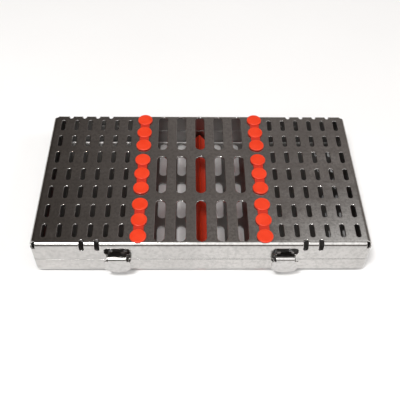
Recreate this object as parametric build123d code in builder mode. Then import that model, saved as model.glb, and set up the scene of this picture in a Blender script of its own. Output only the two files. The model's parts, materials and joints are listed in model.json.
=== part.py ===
from build123d import *
import os

# A dental instrument cassette: two shallow pans of polished sheet, hinged at the back and held
# shut by two thumb latches at the front. Silicone rails grip the instruments; their round studs
# stand out of the long slots, as heads on top of the lid and as feet under the base.
# X runs to the right, Y to the back and Z up, in millimetres. The origin lies at the centre of
# the footprint, on the surface that the cassette stands on.

# ---------------------------------------------------------------------------------------------
# Driving sizes
# ---------------------------------------------------------------------------------------------

# The two pans
case_width = 205.0
case_depth = 113.0
sheet = 0.8
base_wall = 12.2
lid_wall = 14.5
parting_gap = 0.4
base_corner = 3.0
base_bend = 2.4
lid_bend = 3.0
slot_rim = 0.3

# The long slots, on a square grid
grid = 12.7
long_slot_width = 6.3
long_slot_length = 31.8
long_columns = 7
long_slot_land = 2.0

# The small slots, left and right of the long ones
small_slot_width = 2.7
small_slot_length = 9.8
small_column_pitch = 9.28
small_row_pitch = 15.24
small_column_start = 10.4
small_slot_side_land = 6.0
small_slot_end_land = 5.0

# Slots that run over the lid's front and back bends, and the reliefs at its corners
edge_slot_width = 3.0
edge_slot_reach = 4.0
edge_slot_drop = 6.0
front_edge_slots = 2
relief_width = 3.4
relief_depth = 3.0
relief_drop = 4.2
relief_corner = 1.0

# The silicone rails
rail_column = 3
rail_width = 9.5
rail_end_gap = 0.5
head_radius = 5.0
head_height = 1.3
foot_radius = 4.0
foot_height = 1.3
head_pitch = 12.3
heads_per_slot = 3
stud_edge = 0.55
neck_rise = 0.5
slot_fit = 0.1
lid_rail_depth = 7.0
lid_rail_scallop = 4.0
lid_rail_scallop_depth = 1.2

# The instrument grooves
groove_width = 7.2
finger_height = 5.6
finger_gap = 1.6
finger_edge = 1.4
groove_end_land = 8.0

# The ridge along the middle of the base
ridge_width = 8.4
ridge_shoulder = 4.2
ridge_height = 10.0
ridge_top = 0.8

# The hinges
hinge_offset = 63.5
hinge_width = 16.0
hinge_leaf_height = 7.4
hinge_sheet = 0.8
knuckle_radius = 1.6
knuckle_wall_gap = 0.3
knuckle_gap = 0.3
lid_knuckle_length = 7.0
hinge_pin_radius = 0.8
hinge_pin_fit = 0.05
hinge_rivet_spread = 10.0
hinge_rivet_drop = 4.8

# The latches
latch_offset = 50.8
latch_sheet = 0.8
lever_width = 15.6
hook_width = 11.0
hook_reach = 1.6
hook_gap = 0.2
window_width = 15.4
window_height = 6.4
window_corner = 2.2
window_sill = 4.3
latch_pin_radius = 0.6
latch_pin_fit = 0.05
latch_pin_out = 1.9
latch_pin_drop = 7.6
latch_pin_head = 1.0
latch_pin_head_gap = 0.15
cheek_radius = 1.4
cheek_sheet = 0.8
cheek_inset = 0.6
ear_gap = 0.3
ear_radius = 1.3
bracket_height = 7.6
bracket_drop = 0.8
spring_sheet = 0.3
spring_foot_height = 2.6
spring_leg_width = 4.4
latch_rivet_spread = 7.6

# The lever's line, seen from the side: distances ahead of the wall and drops below the sill
lever_out = 4.0
lever_tip_out = 4.3
lever_tip_drop = 12.1
lever_bend = 1.8
lever_shoulder_drop = 1.2
lever_end_radius = 10.5
lever_end_corner = 2.5
lever_shoulder_corner = 1.0
spring_foot_width = 10.0
spring_tip_out = 3.4
spring_tip_drop = 9.6
spring_turn = 0.5

# Rivets
rivet_radius = 0.8
rivet_fit = 0.05
rivet_head_radius = 1.25
rivet_head = 0.5
rivet_dome = 0.3
rivet_tail = 0.4

# ---------------------------------------------------------------------------------------------
# Levels and places that follow from them
# ---------------------------------------------------------------------------------------------

base_bottom = foot_height
floor_top = base_bottom + sheet
base_rim = base_bottom + base_wall
lid_rim = base_rim + parting_gap
lid_top = lid_rim + lid_wall
lid_ceiling = lid_top - sheet
parting = (base_rim + lid_rim) / 2

long_slot_pitch = 3 * grid
long_rows = int((case_depth - 2 * long_slot_land - long_slot_length) / long_slot_pitch) + 1

small_first = grid * rail_column + small_column_start
small_room = case_width / 2 - small_slot_side_land - small_first
small_columns = int(small_room / small_column_pitch) + 1
small_row_room = case_depth - 2 * small_slot_end_land - small_slot_length
small_rows = int(small_row_room / small_row_pitch) + 1

rail_length = (long_rows - 1) * long_slot_pitch + long_slot_length - 2 * rail_end_gap
lid_rail_bottom = lid_ceiling - lid_rail_depth
finger_top = lid_rail_bottom - finger_gap
grooves = int((rail_length - 2 * groove_end_land) / grid) + 1

front = case_depth / 2
back = case_depth / 2
hinge_y = back + knuckle_radius + knuckle_wall_gap
base_knuckle_length = (hinge_width - lid_knuckle_length) / 2 - knuckle_gap
leaf_relief = knuckle_radius + knuckle_gap

sill_top = lid_rim + window_sill
latch_pin_z = sill_top - latch_pin_drop
cheek_outside = lever_width / 2 - cheek_inset
ear_outside = cheek_outside - cheek_sheet - ear_gap
ear_inside = ear_outside - latch_sheet
latch_pin_shank = cheek_outside + latch_pin_head_gap
bracket_top = base_rim - bracket_drop
bracket_bottom = bracket_top - bracket_height
spring_bottom = bracket_bottom + spring_sheet
latch_rivet_z = spring_bottom + spring_foot_height / 2
lever_low = sill_top - lever_tip_drop
lever_high = sill_top + hook_gap + latch_sheet
lever_shoulder = sill_top - lever_shoulder_drop
latch_rivet_ends = [-latch_rivet_spread / 2, latch_rivet_spread / 2]
flat_wall_bottom = latch_rivet_z - rivet_head_radius

os.makedirs("parts", exist_ok=True)


def save(piece, name):
    """Label a finished piece and write it as a STEP file of that name."""
    piece.part.label = name
    export_step(piece.part, f"parts/{name}.step")
    print(f"{name}: {len(piece.part.solids())} solid(s), {piece.part.volume:.1f} mm3")


# ---------------------------------------------------------------------------------------------
# Pans
# ---------------------------------------------------------------------------------------------


def punched_pattern():
    """Long slots in the middle and small slots at both sides, in the sketch that is open."""
    with GridLocations(grid, long_slot_pitch, long_columns, long_rows):
        SlotOverall(long_slot_length, long_slot_width, rotation=90)
    small_centre = small_first + (small_columns - 1) * small_column_pitch / 2
    with Locations((-small_centre, 0), (small_centre, 0)):
        with GridLocations(small_column_pitch, small_row_pitch, small_columns, small_rows):
            SlotOverall(small_slot_length, small_slot_width, rotation=90)


def edge_slot_places(count):
    """Places along X, midway between small columns, counted outwards from the second gap."""
    gaps = range(1, 1 + count)
    places = [small_first + (gap + 0.5) * small_column_pitch for gap in gaps]
    return [side * place for side in (-1, 1) for place in places]


back_places = edge_slot_places(small_columns - 2)
front_places = edge_slot_places(min(front_edge_slots, small_columns - 2))
front_wall = Plane.XZ.offset(front)
back_wall = Plane.XZ.offset(-back)

hinge_rivet_places = [
    side * hinge_offset + end * hinge_rivet_spread / 2 for side in (-1, 1) for end in (-1, 1)
]
latch_rivet_places = [
    side * latch_offset + end * latch_rivet_spread / 2 for side in (-1, 1) for end in (-1, 1)
]

with BuildPart() as base_pan:
    with BuildSketch(Plane.XY.offset(base_bottom)):
        RectangleRounded(case_width, case_depth, base_corner)
    extrude(amount=base_wall)
    fillet(base_pan.faces().sort_by(Axis.Z)[0].edges(), min(base_bend, flat_wall_bottom - base_bottom))
    offset(amount=-sheet, openings=base_pan.faces().sort_by(Axis.Z)[-1])
    with BuildSketch(Plane.XY.offset(base_bottom)):
        punched_pattern()
    extrude(amount=sheet, mode=Mode.SUBTRACT)
    with BuildSketch(front_wall):
        with Locations(*[(x, latch_rivet_z) for x in latch_rivet_places]):
            Circle(rivet_radius + rivet_fit)
    extrude(amount=-sheet, mode=Mode.SUBTRACT)
    with BuildSketch(back_wall):
        with Locations(*[(x, parting - hinge_rivet_drop) for x in hinge_rivet_places]):
            Circle(rivet_radius + rivet_fit)
    extrude(amount=sheet, mode=Mode.SUBTRACT)
save(base_pan, "base_pan")

with BuildPart() as lid_pan:
    with BuildSketch(Plane.XY.offset(lid_rim)):
        RectangleRounded(case_width, case_depth, lid_bend)
    extrude(amount=lid_wall)
    fillet(lid_pan.faces().sort_by(Axis.Z)[-1].edges(), lid_bend)
    offset(amount=-sheet, openings=lid_pan.faces().sort_by(Axis.Z)[0])
    with BuildSketch(Plane.XY.offset(lid_ceiling)):
        punched_pattern()
    extrude(amount=sheet, mode=Mode.SUBTRACT)
    rims = lid_pan.faces().sort_by(Axis.Z)[-1].inner_wires()
    fillet([edge for rim in rims for edge in rim.edges()], slot_rim)
    # Slots over the bends: a cut down through the top, then one through each wall
    with BuildSketch(Plane.XY.offset(lid_top - lid_bend)):
        with Locations(*[(x, back) for x in back_places], *[(x, -front) for x in front_places]):
            SlotOverall(2 * edge_slot_reach, edge_slot_width, rotation=90)
    extrude(amount=lid_bend, mode=Mode.SUBTRACT)
    for wall, places in ((front_wall, front_places), (back_wall, back_places)):
        with BuildSketch(wall):
            with Locations(*[(place, lid_top) for place in places]):
                SlotOverall(2 * edge_slot_drop, edge_slot_width, rotation=90)
        extrude(amount=lid_bend, both=True, mode=Mode.SUBTRACT)
    # Corner reliefs
    with BuildSketch(Plane.XY.offset(lid_top - relief_drop)):
        with GridLocations(case_width, case_depth, 2, 2):
            RectangleRounded(2 * relief_width, 2 * relief_depth, relief_corner)
    extrude(amount=relief_drop, mode=Mode.SUBTRACT)
    # Windows that the latch hooks reach into
    with BuildSketch(front_wall):
        with Locations(*[(side * latch_offset, sill_top + window_height / 2) for side in (-1, 1)]):
            RectangleRounded(window_width, window_height, window_corner)
    extrude(amount=-sheet, mode=Mode.SUBTRACT)
    with BuildSketch(back_wall):
        with Locations(*[(x, parting + hinge_rivet_drop) for x in hinge_rivet_places]):
            Circle(rivet_radius + rivet_fit)
    extrude(amount=sheet, mode=Mode.SUBTRACT)
save(lid_pan, "lid_pan")


# ---------------------------------------------------------------------------------------------
# Silicone rails
# ---------------------------------------------------------------------------------------------

slot_rows = [(row - (long_rows - 1) / 2) * long_slot_pitch for row in range(long_rows)]
head_places = [
    row + (head - (heads_per_slot - 1) / 2) * head_pitch
    for row in slot_rows
    for head in range(heads_per_slot)
]
groove_places = [(groove - (grooves - 1) / 2) * grid for groove in range(grooves)]


def necks(x):
    """The webs that fill the long slots at x, in the sketch that is open."""
    with Locations(*[(x, y) for y in slot_rows]):
        SlotOverall(long_slot_length - 2 * slot_fit, long_slot_width - 2 * slot_fit, rotation=90)


def studs(x, level, radius, height):
    """The round heads or feet of one rail, with rounded edges."""
    with BuildPart() as buttons:
        with BuildSketch(Plane.XY.offset(level)):
            with Locations(*[(x, y) for y in head_places]):
                Circle(radius)
        extrude(amount=height)
        fillet(buttons.edges().filter_by(GeomType.CIRCLE), stud_edge)
    return buttons.part


def floor_studs(x):
    """Necks through the base's floor and feet under it, in the part that is open."""
    with BuildSketch(Plane.XY.offset(base_bottom - neck_rise)) as webs:
        necks(x)
    extrude(webs.sketch, amount=neck_rise + sheet)
    add(studs(x, 0, foot_radius, foot_height))


for side, name in ((-1, "left"), (1, "right")):
    rail_x = side * rail_column * grid
    rail_side = Plane.YZ.offset(rail_x)

    with BuildPart() as base_rail:
        with BuildSketch(Plane.XY.offset(floor_top)):
            with Locations((rail_x, 0)):
                Rectangle(rail_width, rail_length)
        extrude(amount=finger_top - floor_top)
        with BuildSketch(rail_side):
            with Locations(*[(y, finger_top) for y in groove_places]):
                SlotOverall(2 * finger_height, groove_width, rotation=90)
        extrude(amount=rail_width, both=True, mode=Mode.SUBTRACT)
        finger_tops = base_rail.edges().filter_by(Axis.X).group_by(Axis.Z)[-1]
        fillet(finger_tops, finger_edge)
        floor_studs(rail_x)
    save(base_rail, f"base_rail_{name}")

    with BuildPart() as lid_rail:
        with BuildSketch(Plane.XY.offset(lid_rail_bottom)):
            with Locations((rail_x, 0)):
                Rectangle(rail_width, rail_length)
        extrude(amount=lid_rail_depth)
        scallop_centre = lid_rail_bottom + lid_rail_scallop_depth - lid_rail_scallop
        with BuildSketch(rail_side):
            with Locations(*[(y, scallop_centre) for y in groove_places]):
                Circle(lid_rail_scallop)
        extrude(amount=rail_width, both=True, mode=Mode.SUBTRACT)
        with BuildSketch(Plane.XY.offset(lid_ceiling)):
            necks(rail_x)
        extrude(amount=sheet + neck_rise)
        add(studs(rail_x, lid_top, head_radius, head_height))
    save(lid_rail, f"lid_rail_{name}")

with BuildPart() as centre_ridge:
    with BuildSketch(Plane.XZ):
        with BuildLine():
            Polyline(
                (-ridge_width / 2, floor_top),
                (-ridge_width / 2, floor_top + ridge_shoulder),
                (0, floor_top + ridge_height),
                (ridge_width / 2, floor_top + ridge_shoulder),
                (ridge_width / 2, floor_top),
                close=True,
            )
        make_face()
    extrude(amount=rail_length / 2, both=True)
    fillet(centre_ridge.edges().filter_by(Axis.Y).group_by(Axis.Z)[-1], ridge_top)
    floor_studs(0)
save(centre_ridge, "centre_ridge")


# ---------------------------------------------------------------------------------------------
# Hinges
# ---------------------------------------------------------------------------------------------


def hinge_leaf(x, way, knuckles):
    """One leaf of a hinge: way is 1 for the leaf above the pin and -1 for the one below."""
    leaf_middle = parting + way * hinge_leaf_height / 2
    with BuildPart() as leaf:
        with BuildSketch(back_wall):
            with Locations((x, leaf_middle)):
                Rectangle(hinge_width, hinge_leaf_height)
        extrude(amount=-hinge_sheet)
        for start, length in knuckles:
            # The leaf's edge curls round the pin beside each of its knuckles
            with BuildSketch(Plane.YZ.offset(x + start)):
                with Locations((hinge_y, parting)):
                    Circle(knuckle_radius)
            extrude(amount=length)
        # Room for the other leaf's knuckles
        for start, length in knuckle_gaps(knuckles):
            with BuildSketch(Plane.YZ.offset(x + start)):
                with Locations((back + hinge_sheet / 2, parting)):
                    Rectangle(hinge_sheet, 2 * leaf_relief)
            extrude(amount=length, mode=Mode.SUBTRACT)
        with BuildSketch(Plane.YZ.offset(x - hinge_width / 2)):
            with Locations((hinge_y, parting)):
                Circle(hinge_pin_radius + hinge_pin_fit)
        extrude(amount=hinge_width, mode=Mode.SUBTRACT)
        with BuildSketch(back_wall):
            rivets = [end * hinge_rivet_spread / 2 for end in (-1, 1)]
            with Locations(*[(x + rivet, parting + way * hinge_rivet_drop) for rivet in rivets]):
                Circle(rivet_radius + rivet_fit)
        extrude(amount=-hinge_sheet, mode=Mode.SUBTRACT)
        free_end = leaf.faces().filter_by(Axis.Z).sort_by(Axis.Z)[-1 if way > 0 else 0]
        fillet(free_end.edges().filter_by(Axis.Y), 2 * hinge_sheet)
    return leaf


def knuckle_gaps(knuckles):
    """The stretches of a leaf's width that its own knuckles leave free."""
    edges = [-hinge_width / 2]
    for start, length in sorted(knuckles):
        edges += [start, start + length]
    edges.append(hinge_width / 2)
    pairs = zip(edges[0::2], edges[1::2])
    return [(start, end - start) for start, end in pairs if end > start]


outer_knuckles = [
    (-hinge_width / 2, base_knuckle_length),
    (hinge_width / 2 - base_knuckle_length, base_knuckle_length),
]
inner_knuckle = [(-lid_knuckle_length / 2, lid_knuckle_length)]

for side, name in ((-1, "left"), (1, "right")):
    hinge_x = side * hinge_offset
    save(hinge_leaf(hinge_x, -1, outer_knuckles), f"hinge_leaf_base_{name}")
    save(hinge_leaf(hinge_x, 1, inner_knuckle), f"hinge_leaf_lid_{name}")

    pin_length = hinge_width + 2 * rivet_dome
    with BuildPart() as hinge_pin:
        with BuildSketch(Plane.YZ.offset(hinge_x - pin_length / 2)):
            with Locations((hinge_y, parting)):
                Circle(hinge_pin_radius)
        extrude(amount=pin_length)
        chamfer(hinge_pin.edges().filter_by(GeomType.CIRCLE), rivet_dome / 2)
    save(hinge_pin, f"hinge_pin_{name}")


# ---------------------------------------------------------------------------------------------
# Rivets
# ---------------------------------------------------------------------------------------------


def rivet_row(wall, out, places, outer_sheets):
    """Rivets through a pan's wall and the sheets outside it. out is 1 if the wall faces out."""
    inside = wall.offset(-out * sheet)
    outside = wall.offset(out * outer_sheets)
    with BuildPart() as rivets:
        with BuildSketch(inside):
            with Locations(*places):
                Circle(rivet_radius)
        extrude(amount=out * (sheet + outer_sheets))
        with BuildSketch(outside):
            with Locations(*places):
                Circle(rivet_head_radius)
        extrude(amount=out * rivet_head)
        crowns = rivets.edges().filter_by(GeomType.CIRCLE).group_by(Axis.Y)
        fillet(crowns[0 if outside.origin.Y < 0 else -1], rivet_dome)
        with BuildSketch(inside):
            with Locations(*places):
                Circle(rivet_head_radius)
        extrude(amount=-out * rivet_tail)
    return rivets


base_hinge_places = [(x, parting - hinge_rivet_drop) for x in hinge_rivet_places]
lid_hinge_places = [(x, parting + hinge_rivet_drop) for x in hinge_rivet_places]
latch_places = [(x, latch_rivet_z) for x in latch_rivet_places]
save(rivet_row(back_wall, -1, base_hinge_places, hinge_sheet), "hinge_rivets_base")
save(rivet_row(back_wall, -1, lid_hinge_places, hinge_sheet), "hinge_rivets_lid")
save(rivet_row(front_wall, 1, latch_places, latch_sheet + spring_sheet), "latch_rivets")


# ---------------------------------------------------------------------------------------------
# Latches
# ---------------------------------------------------------------------------------------------


def ahead(distance, height):
    """A point in the YZ plane, given by its distance in front of the wall and its height."""
    return (-front - distance, height)


latch_pin_place = ahead(latch_pin_out, latch_pin_z)
hook_middle = lever_high - latch_sheet / 2

for side, name in ((-1, "left"), (1, "right")):
    latch_x = side * latch_offset

    with BuildPart() as latch_bracket:
        with BuildSketch(front_wall):
            with Locations((latch_x, bracket_top - bracket_height / 2)):
                Rectangle(2 * ear_outside, bracket_height)
        extrude(amount=latch_sheet)
        with BuildSketch(front_wall):
            with Locations(*[(latch_x + end, latch_rivet_z) for end in latch_rivet_ends]):
                Circle(rivet_radius + rivet_fit)
        extrude(amount=latch_sheet, mode=Mode.SUBTRACT)
        for start in (-ear_outside, ear_inside):
            with BuildSketch(Plane.YZ.offset(latch_x + start)):
                with Locations(latch_pin_place):
                    Circle(ear_radius)
                with Locations(ahead(latch_pin_out / 2, latch_pin_z)):
                    Rectangle(latch_pin_out, 2 * ear_radius)
                with Locations(latch_pin_place):
                    Circle(latch_pin_radius + latch_pin_fit, mode=Mode.SUBTRACT)
            extrude(amount=latch_sheet)
    save(latch_bracket, f"latch_bracket_{name}")

    with BuildPart() as latch_lever:
        with BuildSketch(Plane.YZ.offset(latch_x)):
            with BuildLine():
                FilletPolyline(
                    ahead(-hook_reach, hook_middle),
                    ahead(lever_out, hook_middle),
                    ahead(lever_tip_out, lever_low),
                    radius=lever_bend,
                )
            trace(line_width=latch_sheet)
        extrude(amount=lever_width / 2, both=True)
        # Seen from the front: a narrow hook above wide shoulders, and a round thumb end
        with BuildSketch(front_wall) as lever_outline:
            with Locations((latch_x, (lever_low + lever_shoulder) / 2)):
                Rectangle(lever_width, lever_shoulder - lever_low)
            with Locations((latch_x, lever_low + lever_end_radius)):
                Circle(lever_end_radius, mode=Mode.INTERSECT)
            with Locations((latch_x, (lever_shoulder + lever_high) / 2)):
                Rectangle(hook_width, lever_high - lever_shoulder)
            shoulders = lever_outline.vertices().group_by(Axis.Y)[1].sort_by(Axis.X)
            fillet((shoulders[0], shoulders[-1]), lever_shoulder_corner)
            fillet(lever_outline.vertices().group_by(Axis.Y)[0], lever_end_corner)
        extrude(amount=lever_width, both=True, mode=Mode.INTERSECT)
        for start in (-cheek_outside, cheek_outside - cheek_sheet):
            with BuildSketch(Plane.YZ.offset(latch_x + start)):
                with Locations(latch_pin_place):
                    Circle(cheek_radius)
                cheek_run = lever_out - latch_pin_out
                with Locations(ahead(latch_pin_out + cheek_run / 2, latch_pin_z)):
                    Rectangle(cheek_run, 2 * cheek_radius)
            extrude(amount=cheek_sheet)
        with BuildSketch(Plane.YZ.offset(latch_x)):
            with Locations(latch_pin_place):
                Circle(latch_pin_radius + latch_pin_fit)
        extrude(amount=lever_width, both=True, mode=Mode.SUBTRACT)
    save(latch_lever, f"latch_lever_{name}")

    with BuildPart() as latch_pin:
        with BuildSketch(Plane.YZ.offset(latch_x)):
            with Locations(latch_pin_place):
                Circle(latch_pin_radius)
        extrude(amount=latch_pin_shank, both=True)
        for start in (-latch_pin_shank - rivet_dome, latch_pin_shank):
            with BuildSketch(Plane.YZ.offset(latch_x + start)):
                with Locations(latch_pin_place):
                    Circle(latch_pin_head)
            extrude(amount=rivet_dome)
    save(latch_pin, f"latch_pin_{name}")

    with BuildPart() as latch_spring:
        with BuildSketch(front_wall.offset(latch_sheet)):
            with Locations((latch_x, spring_bottom + spring_foot_height / 2)):
                Rectangle(spring_foot_width, spring_foot_height)
            with Locations(*[(latch_x + end, latch_rivet_z) for end in latch_rivet_ends]):
                Circle(rivet_radius + rivet_fit, mode=Mode.SUBTRACT)
        extrude(amount=spring_sheet)
        spring_line = latch_sheet + spring_sheet / 2
        with BuildSketch(Plane.YZ.offset(latch_x)):
            with BuildLine():
                FilletPolyline(
                    ahead(spring_line, spring_bottom + spring_foot_height),
                    ahead(spring_line, spring_bottom - spring_turn),
                    ahead(spring_tip_out, sill_top - spring_tip_drop),
                    radius=spring_turn,
                )
            trace(line_width=spring_sheet)
        extrude(amount=spring_leg_width / 2, both=True)
    save(latch_spring, f"latch_spring_{name}")
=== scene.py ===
import json
import math

import bpy
from mathutils import Matrix, Vector


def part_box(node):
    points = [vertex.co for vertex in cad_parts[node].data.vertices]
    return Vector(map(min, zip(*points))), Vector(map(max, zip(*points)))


# A dental instrument cassette of polished sheet steel with silicone rails, lying closed on a
# lit white table. Lengths are in metres. X is to the right, Y to the hinges and Z up, and the
# origin lies on the table under the middle of the base.

# ---------------------------------------------------------------------------------------------
# Places and sizes
# ---------------------------------------------------------------------------------------------

MM = 0.001

# The camera
CAMERA_PLACE = Vector((-8.03, -268.06, 325.56)) * MM
CAMERA_PITCH = math.radians(50.342)
CAMERA_YAW = math.radians(1.719)
CAMERA_ROLL = math.radians(1.368)
CAMERA_NEAREST = 0.01
FOCAL_PIXELS = 614
IMAGE_PIXELS = 400
SENSOR_WIDTH = 36

# The table
TABLE_SIZE = 6.0

# ---------------------------------------------------------------------------------------------
# Finishes
# ---------------------------------------------------------------------------------------------

# A tone is linear red, green, blue and opacity. A fade is a pair of values: where a tone is
# absent, and where it is whole. A pattern's fade is by its noise, which lies between 0 and 1.

# Steel
PAN_TONE = (0.57, 0.557, 0.543, 1.0)
FITTING_TONE = (0.58, 0.57, 0.56, 1.0)
FASTENER_TONE = (0.60, 0.59, 0.58, 1.0)
SPRING_TONE = (0.47, 0.46, 0.45, 1.0)

# Its tone between clouds and in its mottle, as shares of its own. The clouds have the full tone.
CLOUD_SHARE = 0.84
CLOUD_FADE = (0.35, 0.7)
MOTTLE_SHARE = 0.66
MOTTLE_FADE = (0.58, 0.36)
MOTTLE_STRENGTH = 0.6

# What dulls its polish: smears, as shares of its roughness beside and in them, and specks
SMEAR_STRETCH = (1.0, 2.6, 1.8)
SMEAR_FADE = (0.4, 0.72)
SMEAR_SHARES = (0.85, 1.45)
SPECK_FADE = (0.55, 0.75)
SPECK_DULLNESS = 0.05

# Its edges, rounded by the shader on cut sheet and on fittings. Their fade is by the cosine of
# the angle by which that turns a face's normal. Burnish is the share of roughness they lose.
CUT_EDGE = 0.45 * MM
FITTING_EDGE = 0.12 * MM
EDGE_TONE = (0.86, 0.85, 0.84, 1.0)
EDGE_FADE = (0.999, 0.9)
EDGE_STRENGTH = 0.55
EDGE_BURNISH = 0.4

# Its relief
WAVE_DEPTH = 0.4 * MM
GRAIN_DEPTH = 0.02 * MM
GRAIN_STRETCH = (6.0, 160.0, 160.0)

# A pan's inner faces: their share of the tone, which is painted shade, and their added roughness. Their
# fade is by the distance from the middle of the pan's rim to the face, negative where the face looks
# inwards.
INNER_SHADE_SHARE = 0.5
INNER_DULLNESS = 0.18
INNER_FADE = (0.2 * MM, -0.2 * MM)

# Silicone
DEEP_SILICONE = (0.72, 0.038, 0.007, 1.0)
LIGHT_SILICONE = (0.78, 0.048, 0.011, 1.0)
LIGHT_FADE = (0.3, 0.7)
DUST_TONE = (0.95, 0.35, 0.25, 1.0)
DUST_FADE = (0.62, 0.8)
DUST_STRENGTH = 0.12
SATIN_FADE = (0.3, 0.75)
SATIN_ROUGHNESS = (0.38, 0.52)
SKIN_DEPTH = 0.03 * MM
GLOW_REACH = 0.8 * MM

# Painted shade on the webs between the heads, with fades by the level over the lid's top
WEB_PAINTED_SHADE = (0.50, 0.026, 0.011, 1.0)
WEB_SHADE_FADE_BELOW = (-0.4 * MM, -0.1 * MM)
WEB_SHADE_FADE_ABOVE = (0.80 * MM, 0.52 * MM)

# The table
TABLE_SHADE = (0.87, 0.87, 0.87, 1.0)
TABLE_TONE = (0.90, 0.90, 0.90, 1.0)
TABLE_FADE = (0.3, 0.7)
TABLE_GLOW = 0.02

# ---------------------------------------------------------------------------------------------
# Light
# ---------------------------------------------------------------------------------------------

# The square lamps, turned to a point over the table. Their tone has no opacity.
LAMP_WIDTH = 0.3
LAMP_TONE = (1.0, 0.99, 0.98)
LAMP_TARGET = Vector((0.0, 0.0, 0.02))
LEFT_LAMP_PLACE = Vector((-0.31, -0.43, 1.18))
LEFT_LAMP_WATTS = 11.0
RIGHT_LAMP_PLACE = Vector((0.93, -0.26, 0.87))
RIGHT_LAMP_WATTS = 3.0

# The room around the table, with fades along an axis of the direction of sight
ROOM_TONE = (0.215, 0.192, 0.180, 1.0)
ROOM_SHADE = (0.068, 0.058, 0.051, 1.0)
ROOM_FADE_X = (-0.30, 0.05)
SCREEN_TONE = (1.75, 1.74, 1.72, 1.0)
SCREEN_FADE_X = (0.55, 0.35)
SCREEN_FADE_Y = (0.08, -0.16)
SCREEN_FADE_Z = (0.46, 0.62)

# A far light in the room, with a fade by the cosine of the angle to its middle
GLARE_TONE = (1.2, 1.19, 1.17, 1.0)
GLARE_DIRECTION = Vector((0.30, 0.44, 0.85)).normalized()
GLARE_FADE = (0.975, 0.999)


# ---------------------------------------------------------------------------------------------
# Materials
# ---------------------------------------------------------------------------------------------


class Recipe:
    """The node tree of a material or of the world, which grows one node at a time."""

    def __init__(self, owner, shader="Principled BSDF"):
        owner.use_nodes = True
        self.owner = owner
        self.tree = owner.node_tree
        self.shader = self.tree.nodes[shader]

    def fill(self, socket, value):
        """Link another node's output to a socket, or set the socket to a plain value."""
        if isinstance(value, bpy.types.NodeSocket):
            self.tree.links.new(value, socket)
        else:
            socket.default_value = value

    def fill_named(self, node, inputs):
        """Fill a node's sockets by name, where _ stands for a blank."""
        for key, value in inputs.items():
            self.fill(node.inputs[key.replace("_", " ")], value)

    def set(self, **inputs):
        """Fill sockets of the surface shader."""
        self.fill_named(self.shader, inputs)

    def node(self, kind, settings=None, **inputs):
        """A new node with its settings and filled sockets."""
        made = self.tree.nodes.new(kind)
        for key, value in (settings or {}).items():
            setattr(made, key, value)
        self.fill_named(made, inputs)
        return made

    def combine(self, kind, operation, first, second):
        """The outputs of a math node of two inputs."""
        made = self.node(kind, {"operation": operation})
        self.fill(made.inputs[0], first)
        self.fill(made.inputs[1], second)
        return made.outputs

    def math(self, operation, first, second=0.0):
        return self.combine("ShaderNodeMath", operation, first, second)["Value"]

    def multiply(self, first, second):
        return self.math("MULTIPLY", first, second)

    def dot(self, first, second):
        return self.combine("ShaderNodeVectorMath", "DOT_PRODUCT", first, second)["Value"]

    def subtract(self, first, second):
        """The vector from the second point to the first."""
        return self.combine("ShaderNodeVectorMath", "SUBTRACT", first, second)["Vector"]

    def place(self):
        """Object coordinates, which are metres in this script's frame."""
        return self.node("ShaderNodeTexCoord").outputs["Object"]

    def stretched(self, vector, scale):
        """The same coordinates, scaled along X, Y and Z."""
        return self.node("ShaderNodeMapping", Vector=vector, Scale=scale).outputs["Vector"]

    def noise(self, vector, scale, detail=3.0, roughness=0.5, distortion=0.0):
        made = self.node(
            "ShaderNodeTexNoise",
            Vector=vector,
            Scale=scale,
            Detail=detail,
            Roughness=roughness,
            Distortion=distortion,
        )
        return made.outputs["Fac"]

    def ramp(self, value, start, end, at_start=0.0, at_end=1.0):
        """A smooth change with value, from at_start where it is start to at_end where it is end."""
        made = self.node(
            "ShaderNodeMapRange",
            {"interpolation_type": "SMOOTHSTEP"},
            Value=value,
            From_Min=start,
            From_Max=end,
            To_Min=at_start,
            To_Max=at_end,
        )
        return made.outputs["Result"]

    def mix(self, factor, first, second):
        """A colour between first and second."""
        made = self.node("ShaderNodeMix", {"data_type": "RGBA"})
        sockets = {socket.identifier: socket for socket in made.inputs}
        self.fill(sockets["Factor_Float"], factor)
        self.fill(sockets["A_Color"], first)
        self.fill(sockets["B_Color"], second)
        return next(socket for socket in made.outputs if socket.identifier == "Result_Color")

    def bump(self, height, strength, distance, normal=None):
        """A normal, the surface's own if none is given, that follows a relief."""
        made = self.node("ShaderNodeBump", Height=height, Strength=strength, Distance=distance)
        if normal is not None:
            self.fill(made.inputs["Normal"], normal)
        return made.outputs["Normal"]

    def round_edges(self, radius):
        """(a normal that rounds sharp edges, how near a point is to such an edge)"""
        rounded = self.node("ShaderNodeBevel", {"samples": 6}, Radius=radius).outputs["Normal"]
        flat = self.node("ShaderNodeNewGeometry").outputs["Normal"]
        return rounded, self.ramp(self.dot(rounded, flat), *EDGE_FADE)

    def inside(self, rim):
        """1 on faces that look into a pan whose rim is at this level, and 0 on its outer faces."""
        surface = self.node("ShaderNodeTexCoord").outputs
        from_rim = self.subtract(surface["Object"], Vector((0.0, 0.0, rim)))
        return self.ramp(self.dot(from_rim, surface["Normal"]), *INNER_FADE)


def share_of(tone, share):
    """A darker tone of the same colour."""
    return [channel * share for channel in tone[:3]] + [1.0]


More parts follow.
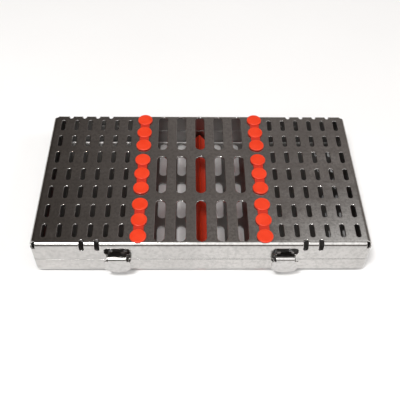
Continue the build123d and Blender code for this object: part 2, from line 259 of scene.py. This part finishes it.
def steel(name, tone, edge, roughness, wave, grain, rim=None):
    """Polished sheet steel: waves in the sheet, a fine grain, handling marks and bright edges.

    A pan's inner faces, told by the level of its rim, are darker, by painted shade, and duller than its
    outer ones.
    """
    look = Recipe(bpy.data.materials.new(name))
    place = look.place()
    rounded, near_edge = look.round_edges(edge)

    # Tone: clouds, a fine mottle, and brighter edges
    clouds = look.noise(place, scale=22.0, detail=4.0, roughness=0.6)
    mottle = look.noise(place, scale=520.0, detail=4.0, roughness=0.65)
    colour = look.mix(look.ramp(clouds, *CLOUD_FADE), share_of(tone, CLOUD_SHARE), tone)
    spots = look.ramp(mottle, *MOTTLE_FADE, at_end=MOTTLE_STRENGTH)
    colour = look.mix(spots, colour, share_of(tone, MOTTLE_SHARE))
    colour = look.mix(look.multiply(near_edge, EDGE_STRENGTH), colour, EDGE_TONE)

    # Roughness: smears and specks dull the polish, and edges are burnished
    smeared = look.stretched(place, SMEAR_STRETCH)
    smears = look.noise(smeared, scale=60.0, detail=5.0, roughness=0.62, distortion=0.6)
    specks = look.noise(place, scale=900.0, detail=2.0)
    dull = look.ramp(smears, *SMEAR_FADE, *(roughness * share for share in SMEAR_SHARES))
    dull = look.math("ADD", dull, look.ramp(specks, *SPECK_FADE, at_end=SPECK_DULLNESS))
    # A pan's inner faces: painted shade darkens their tone, and they are rougher
    if rim is not None:
        inside = look.inside(rim)
        colour = look.mix(inside, colour, share_of(tone, INNER_SHADE_SHARE))
        dull = look.math("ADD", dull, look.multiply(inside, INNER_DULLNESS))
    dull = look.math("SUBTRACT", dull, look.multiply(near_edge, roughness * EDGE_BURNISH))

    # Relief: long waves of the sheet, then the grain along X, over the rounded edges
    waves = look.noise(place, scale=75.0, detail=1.5, roughness=0.4)
    brushed = look.stretched(place, GRAIN_STRETCH)
    scratches = look.noise(brushed, scale=14.0, detail=2.0, roughness=0.6)
    relief = look.bump(waves, wave, WAVE_DEPTH, rounded)
    relief = look.bump(scratches, grain, GRAIN_DEPTH, relief)
    look.set(Base_Color=colour, Metallic=1.0, Roughness=dull, Normal=relief)
    return look.owner


def silicone(name, lid_top):
    """Moulded silicone rubber: saturated orange-red, satin and a little dusty.

    The webs between the heads on the lid's top are darkened by painted shade.
    """
    look = Recipe(bpy.data.materials.new(name))
    place = look.place()
    clouds = look.noise(place, scale=130.0)
    dust = look.noise(place, scale=1500.0, roughness=0.7)
    colour = look.mix(look.ramp(clouds, *LIGHT_FADE), DEEP_SILICONE, LIGHT_SILICONE)
    colour = look.mix(look.ramp(dust, *DUST_FADE, at_end=DUST_STRENGTH), colour, DUST_TONE)
    # Painted shade: the webs between the heads on the lid's top are darkened, chosen by their level
    level = look.node("ShaderNodeSeparateXYZ", Vector=place).outputs["Z"]
    above, below = (
        look.ramp(level, lid_top + absent, lid_top + whole)
        for absent, whole in (WEB_SHADE_FADE_ABOVE, WEB_SHADE_FADE_BELOW)
    )
    colour = look.mix(look.multiply(above, below), colour, WEB_PAINTED_SHADE)
    skin = look.noise(place, scale=2600.0, detail=2.0, roughness=0.6)
    look.set(
        Base_Color=colour,
        Roughness=look.ramp(clouds, *SATIN_FADE, *SATIN_ROUGHNESS),
        Specular_IOR_Level=0.42,
        Subsurface_Weight=0.1,
        Subsurface_Radius=(1.0, 0.25, 0.1),
        Subsurface_Scale=GLOW_REACH,
        Sheen_Weight=0.08,
        Sheen_Roughness=0.4,
        Normal=look.bump(skin, 0.25, SKIN_DEPTH),
    )
    return look.owner


def table_top(name):
    """A white table: matt, faintly uneven and glowing a little."""
    look = Recipe(bpy.data.materials.new(name))
    uneven = look.noise(look.place(), scale=3.0)
    look.set(
        Base_Color=look.mix(look.ramp(uneven, *TABLE_FADE), TABLE_SHADE, TABLE_TONE),
        Roughness=0.6,
        Emission_Color=(1.0, 1.0, 1.0, 1.0),
        Emission_Strength=TABLE_GLOW,
    )
    return look.owner


# ---------------------------------------------------------------------------------------------
# Camera, table and lights
# ---------------------------------------------------------------------------------------------


def add(name, data):
    """A new object in the scene."""
    added = bpy.data.objects.new(name, data)
    bpy.context.scene.collection.objects.link(added)
    return added


def make_camera():
    """The photograph's viewpoint."""
    level = math.cos(CAMERA_PITCH)
    ahead = Vector((math.sin(CAMERA_YAW) * level, math.cos(CAMERA_YAW) * level, -math.sin(CAMERA_PITCH)))
    right = Vector((math.cos(CAMERA_YAW), -math.sin(CAMERA_YAW), 0.0))
    up = right.cross(ahead)
    right, up = (
        right * math.cos(CAMERA_ROLL) + up * math.sin(CAMERA_ROLL),
        up * math.cos(CAMERA_ROLL) - right * math.sin(CAMERA_ROLL),
    )
    camera = add("camera", bpy.data.cameras.new("camera"))
    camera.data.sensor_width = SENSOR_WIDTH
    camera.data.lens = SENSOR_WIDTH * FOCAL_PIXELS / IMAGE_PIXELS
    camera.data.clip_start = CAMERA_NEAREST
    turn = Matrix((right, up, -ahead)).transposed()
    camera.matrix_world = Matrix.Translation(CAMERA_PLACE) @ turn.to_4x4()
    bpy.context.scene.camera = camera


def make_table():
    half = TABLE_SIZE / 2
    corners = [(-half, -half, 0), (half, -half, 0), (half, half, 0), (-half, half, 0)]
    table = add("table", bpy.data.meshes.new("table"))
    table.data.from_pydata(corners, [], [(0, 1, 2, 3)])
    table.data.materials.append(table_top("white_table"))


def make_lamp(name, place, watts):
    """A square lamp that faces the cassette."""
    lamp = add(name, bpy.data.lights.new(name, "AREA"))
    lamp.data.size = LAMP_WIDTH
    lamp.data.energy = watts
    lamp.data.color = LAMP_TONE
    lamp.location = place
    lamp.rotation_euler = (LAMP_TARGET - place).to_track_quat("-Z", "Y").to_euler()


def make_room():
    """A dark room behind the cassette, which the lid mirrors, and a wide white screen in front."""
    room = Recipe(bpy.data.worlds.new("room"), "Background")
    bpy.context.scene.world = room.owner
    sight = room.node("ShaderNodeTexCoord").outputs["Generated"]
    axes = room.node("ShaderNodeSeparateXYZ", Vector=sight).outputs

    # The dark part, warm, and lighter to the right
    colour = room.mix(room.ramp(axes["X"], *ROOM_FADE_X), ROOM_SHADE, ROOM_TONE)

    # The screen, from straight above down to a dark strip over the horizon
    front = room.ramp(axes["Y"], *SCREEN_FADE_Y)
    above = room.ramp(axes["Z"], *SCREEN_FADE_Z)
    between = room.ramp(room.math("ABSOLUTE", axes["X"]), *SCREEN_FADE_X)
    colour = room.mix(room.multiply(room.multiply(front, above), between), colour, SCREEN_TONE)

    # A light at the back, which glares on the lid's right front corner
    colour = room.mix(room.ramp(room.dot(sight, GLARE_DIRECTION), *GLARE_FADE), colour, GLARE_TONE)
    room.set(Color=colour, Strength=1.0)


# ---------------------------------------------------------------------------------------------
# The cassette
# ---------------------------------------------------------------------------------------------


def make_finishes():
    """The finish of each material slot, by the slot's name."""
    (_, base_top), (lid_bottom, lid_top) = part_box("base_pan"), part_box("lid_pan")
    rim = (base_top[2] + lid_bottom[2]) / 2
    steels = {
        "pan_steel": dict(tone=PAN_TONE, edge=CUT_EDGE, roughness=0.15, wave=0.12, grain=0.3, rim=rim),
        "fitting_steel": dict(tone=FITTING_TONE, edge=FITTING_EDGE, roughness=0.15, wave=0.05, grain=0.25),
        "fastener_steel": dict(tone=FASTENER_TONE, edge=FITTING_EDGE, roughness=0.24, wave=0.05, grain=0.3),
        "spring_steel": dict(tone=SPRING_TONE, edge=FITTING_EDGE, roughness=0.26, wave=0.02, grain=0.4),
    }
    finishes = {name: steel(name, **figures) for name, figures in steels.items()}
    finishes["silicone"] = silicone("silicone", lid_top[2])
    return finishes


def dress(frame):
    """Give every piece of the cassette the finish of its material slot."""
    finishes = make_finishes()
    slots = {part["node"]: part["material_slot"] for part in frame["record"]["subparts"]}
    for name, piece in frame["nodes"].items():
        piece.data.materials.clear()
        piece.data.materials.append(finishes[slots[name]])


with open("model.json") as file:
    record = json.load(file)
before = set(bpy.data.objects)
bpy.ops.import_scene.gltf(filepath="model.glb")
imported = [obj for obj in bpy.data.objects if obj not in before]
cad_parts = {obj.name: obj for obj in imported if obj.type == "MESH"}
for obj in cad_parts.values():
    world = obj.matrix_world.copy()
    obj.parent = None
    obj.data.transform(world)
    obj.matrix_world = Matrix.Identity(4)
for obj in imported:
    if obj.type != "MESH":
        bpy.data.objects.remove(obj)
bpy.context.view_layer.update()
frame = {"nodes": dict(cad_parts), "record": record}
make_camera()
make_table()
make_room()
make_lamp("left_lamp", LEFT_LAMP_PLACE, LEFT_LAMP_WATTS)
make_lamp("right_lamp", RIGHT_LAMP_PLACE, RIGHT_LAMP_WATTS)
dress(frame)
bpy.context.scene.view_settings.view_transform = "Standard"
